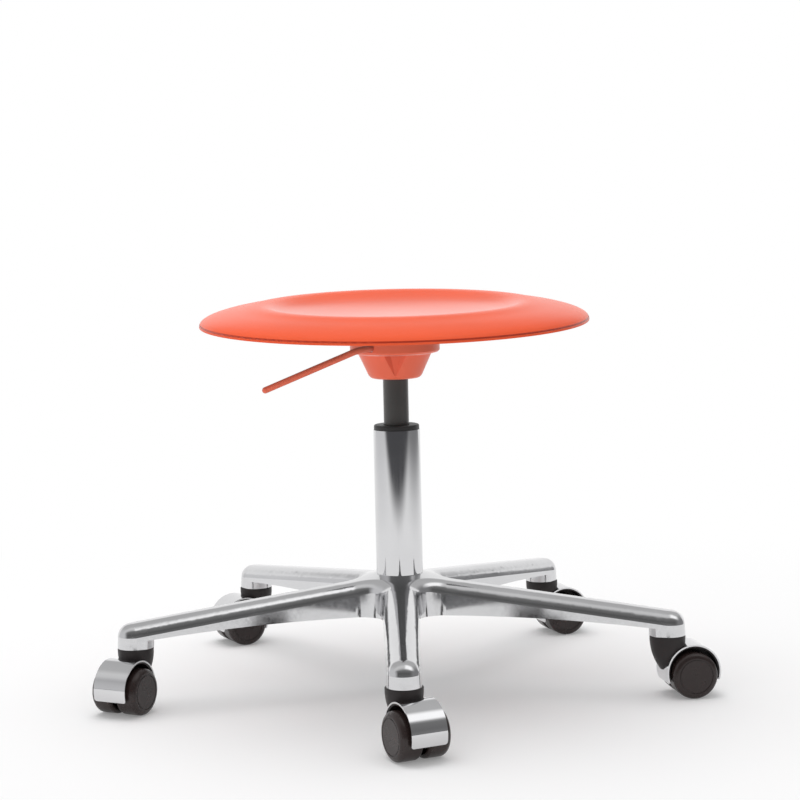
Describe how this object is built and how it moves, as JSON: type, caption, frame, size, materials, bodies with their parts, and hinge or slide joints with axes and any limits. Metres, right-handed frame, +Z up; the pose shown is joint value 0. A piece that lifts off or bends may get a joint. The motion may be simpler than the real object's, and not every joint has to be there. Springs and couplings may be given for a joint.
{
  "type": "swivel stool",
  "caption": "Round dished stool seat on a height-adjustable gas column, with a release lever, a polished star base and hooded twin-wheel castors.",
  "frame": {"origin": "on the floor under the column axis", "axes": "+Z up, -Y to the front of the seat, +X to the right seen from the front"},
  "size_m": [0.6727, 0.6412, 0.4351],
  "materials": {
    "seat_coral": "moulded coral skin with a fine grain",
    "lever_coral": "coral powder coat",
    "polished_aluminium": "polished casting",
    "bright_chrome": "bright plating",
    "cylinder_grey": "dark satin coating",
    "bush_black": "moulded black plastic",
    "pan_black": "moulded black plastic",
    "castor_black": "moulded black plastic",
    "wheel_grey": "dark brown grey tread and cap",
    "steel": "plain steel",
    "insert_brass": "turned brass",
    "black_rubber": "plain rubber"
  },
  "bodies": {
    "base": {"star_base": "polished_aluminium", "column_tube": "bright_chrome", "guide_bush": "bush_black", "bearing_lower_race": "steel", "grip_rings": "steel", "castor_stem_1": "steel", "castor_stem_2": "steel", "castor_stem_3": "steel", "castor_stem_4": "steel", "castor_stem_5": "steel"},
    "ball_cage": {"bearing_cage": "bush_black", "bearing_balls": "steel"},
    "rod": {"piston_rod": "steel", "piston": "steel", "piston_seal": "black_rubber", "piston_nut": "steel", "bearing_upper_race": "steel", "rubber_buffer": "black_rubber", "rod_washer": "steel", "end_washer": "steel", "retaining_clip": "steel"},
    "seat": {"seat_shell": "seat_coral", "seat_pan": "pan_black", "seat_inserts": "insert_brass", "seat_screws": "steel", "mount_plate": "steel", "taper_socket": "steel", "lever_pin": "steel", "mechanism_cover": "seat_coral", "gas_cylinder": "cylinder_grey", "cylinder_gland": "steel"},
    "lever": {"release_lever": "lever_coral"},
    "button": {"release_button": "steel"},
    "castor_1": {"castor_body_1": "castor_black", "castor_hood_1": "bright_chrome", "castor_axle_1": "steel"},
    "wheel_1a": {"castor_wheel_1a": "wheel_grey"},
    "wheel_1b": {"castor_wheel_1b": "wheel_grey"},
    "castor_2": {"castor_body_2": "castor_black", "castor_hood_2": "bright_chrome", "castor_axle_2": "steel"},
    "wheel_2a": {"castor_wheel_2a": "wheel_grey"},
    "wheel_2b": {"castor_wheel_2b": "wheel_grey"},
    "castor_3": {"castor_body_3": "castor_black", "castor_hood_3": "bright_chrome", "castor_axle_3": "steel"},
    "wheel_3a": {"castor_wheel_3a": "wheel_grey"},
    "wheel_3b": {"castor_wheel_3b": "wheel_grey"},
    "castor_4": {"castor_body_4": "castor_black", "castor_hood_4": "bright_chrome", "castor_axle_4": "steel"},
    "wheel_4a": {"castor_wheel_4a": "wheel_grey"},
    "wheel_4b": {"castor_wheel_4b": "wheel_grey"},
    "castor_5": {"castor_body_5": "castor_black", "castor_hood_5": "bright_chrome", "castor_axle_5": "steel"},
    "wheel_5a": {"castor_wheel_5a": "wheel_grey"},
    "wheel_5b": {"castor_wheel_5b": "wheel_grey"}
  },
  "joints": [
    {"name": "seat_swivel", "type": "hinge", "parent": "base", "child": "rod", "pos_m": [0, 0, 0.085], "axis": [0, 0, 1], "continuous": true},
    {"name": "cage_spin", "type": "hinge", "parent": "base", "child": "ball_cage", "pos_m": [0, 0, 0.085], "axis": [0, 0, 1], "continuous": true},
    {"name": "height_slide", "type": "slide", "parent": "rod", "child": "seat", "axis": [0, 0, 1], "range_m": [-0.05, 0.08]},
    {"name": "lever_lift", "type": "hinge", "parent": "seat", "child": "lever", "pos_m": [-0.01634, -0.02516, 0.379], "axis": [-0.8387, 0.5446, 0], "range_deg": [0, 5.5], "stiffness_Nm_per_rad": 12, "springref_deg": -2.86},
    {"name": "button_press", "type": "slide", "parent": "seat", "child": "button", "axis": [0, 0, 1], "range_m": [-0.0031, 0]},
    {"name": "castor_swivel_1", "type": "hinge", "parent": "base", "child": "castor_1", "pos_m": [0, -0.301, 0.0667], "axis": [0, 0, 1], "continuous": true},
    {"name": "wheel_roll_1a", "type": "hinge", "parent": "castor_1", "child": "wheel_1a", "pos_m": [0.0103, -0.32212, 0.025], "axis": [0.8988, 0.4384, 0], "continuous": true},
    {"name": "wheel_roll_1b", "type": "hinge", "parent": "castor_1", "child": "wheel_1b", "pos_m": [0.0103, -0.32212, 0.025], "axis": [0.8988, 0.4384, 0], "continuous": true},
    {"name": "castor_swivel_2", "type": "hinge", "parent": "base", "child": "castor_2", "pos_m": [0.28627, -0.09301, 0.0667], "axis": [0, 0, 1], "continuous": true},
    {"name": "wheel_roll_2a", "type": "hinge", "parent": "castor_2", "child": "wheel_2a", "pos_m": [0.30941, -0.08893, 0.025], "axis": [-0.1736, 0.9848, 0], "continuous": true},
    {"name": "wheel_roll_2b", "type": "hinge", "parent": "castor_2", "child": "wheel_2b", "pos_m": [0.30941, -0.08893, 0.025], "axis": [-0.1736, 0.9848, 0], "continuous": true},
    {"name": "castor_swivel_3", "type": "hinge", "parent": "base", "child": "castor_3", "pos_m": [0.17692, 0.24351, 0.0667], "axis": [0, 0, 1], "continuous": true},
    {"name": "wheel_roll_3a", "type": "hinge", "parent": "castor_3", "child": "wheel_3a", "pos_m": [0.19914, 0.25117, 0.025], "axis": [-0.3256, 0.9455, 0], "continuous": true},
    {"name": "wheel_roll_3b", "type": "hinge", "parent": "castor_3", "child": "wheel_3b", "pos_m": [0.19914, 0.25117, 0.025], "axis": [-0.3256, 0.9455, 0], "continuous": true},
    {"name": "castor_swivel_4", "type": "hinge", "parent": "base", "child": "castor_4", "pos_m": [-0.17692, 0.24351, 0.0667], "axis": [0, 0, 1], "continuous": true},
    {"name": "wheel_roll_4a", "type": "hinge", "parent": "castor_4", "child": "wheel_4a", "pos_m": [-0.19786, 0.23285, 0.025], "axis": [0.454, -0.891, 0], "continuous": true},
    {"name": "wheel_roll_4b", "type": "hinge", "parent": "castor_4", "child": "wheel_4b", "pos_m": [-0.19786, 0.23285, 0.025], "axis": [0.454, -0.891, 0], "continuous": true},
    {"name": "castor_swivel_5", "type": "hinge", "parent": "base", "child": "castor_5", "pos_m": [-0.28627, -0.09301, 0.0667], "axis": [0, 0, 1], "continuous": true},
    {"name": "wheel_roll_5a", "type": "hinge", "parent": "castor_5", "child": "wheel_5a", "pos_m": [-0.29675, -0.11405, 0.025], "axis": [0.8949, -0.4462, 0], "continuous": true},
    {"name": "wheel_roll_5b", "type": "hinge", "parent": "castor_5", "child": "wheel_5b", "pos_m": [-0.29675, -0.11405, 0.025], "axis": [0.8949, -0.4462, 0], "continuous": true}
  ],
  "couplings": [
    {"joint": "cage_spin", "follows": "seat_swivel", "ratio": 0.5},
    {"joint": "button_press", "follows": "lever_lift", "m_per_rad": -0.0315}
  ]
}
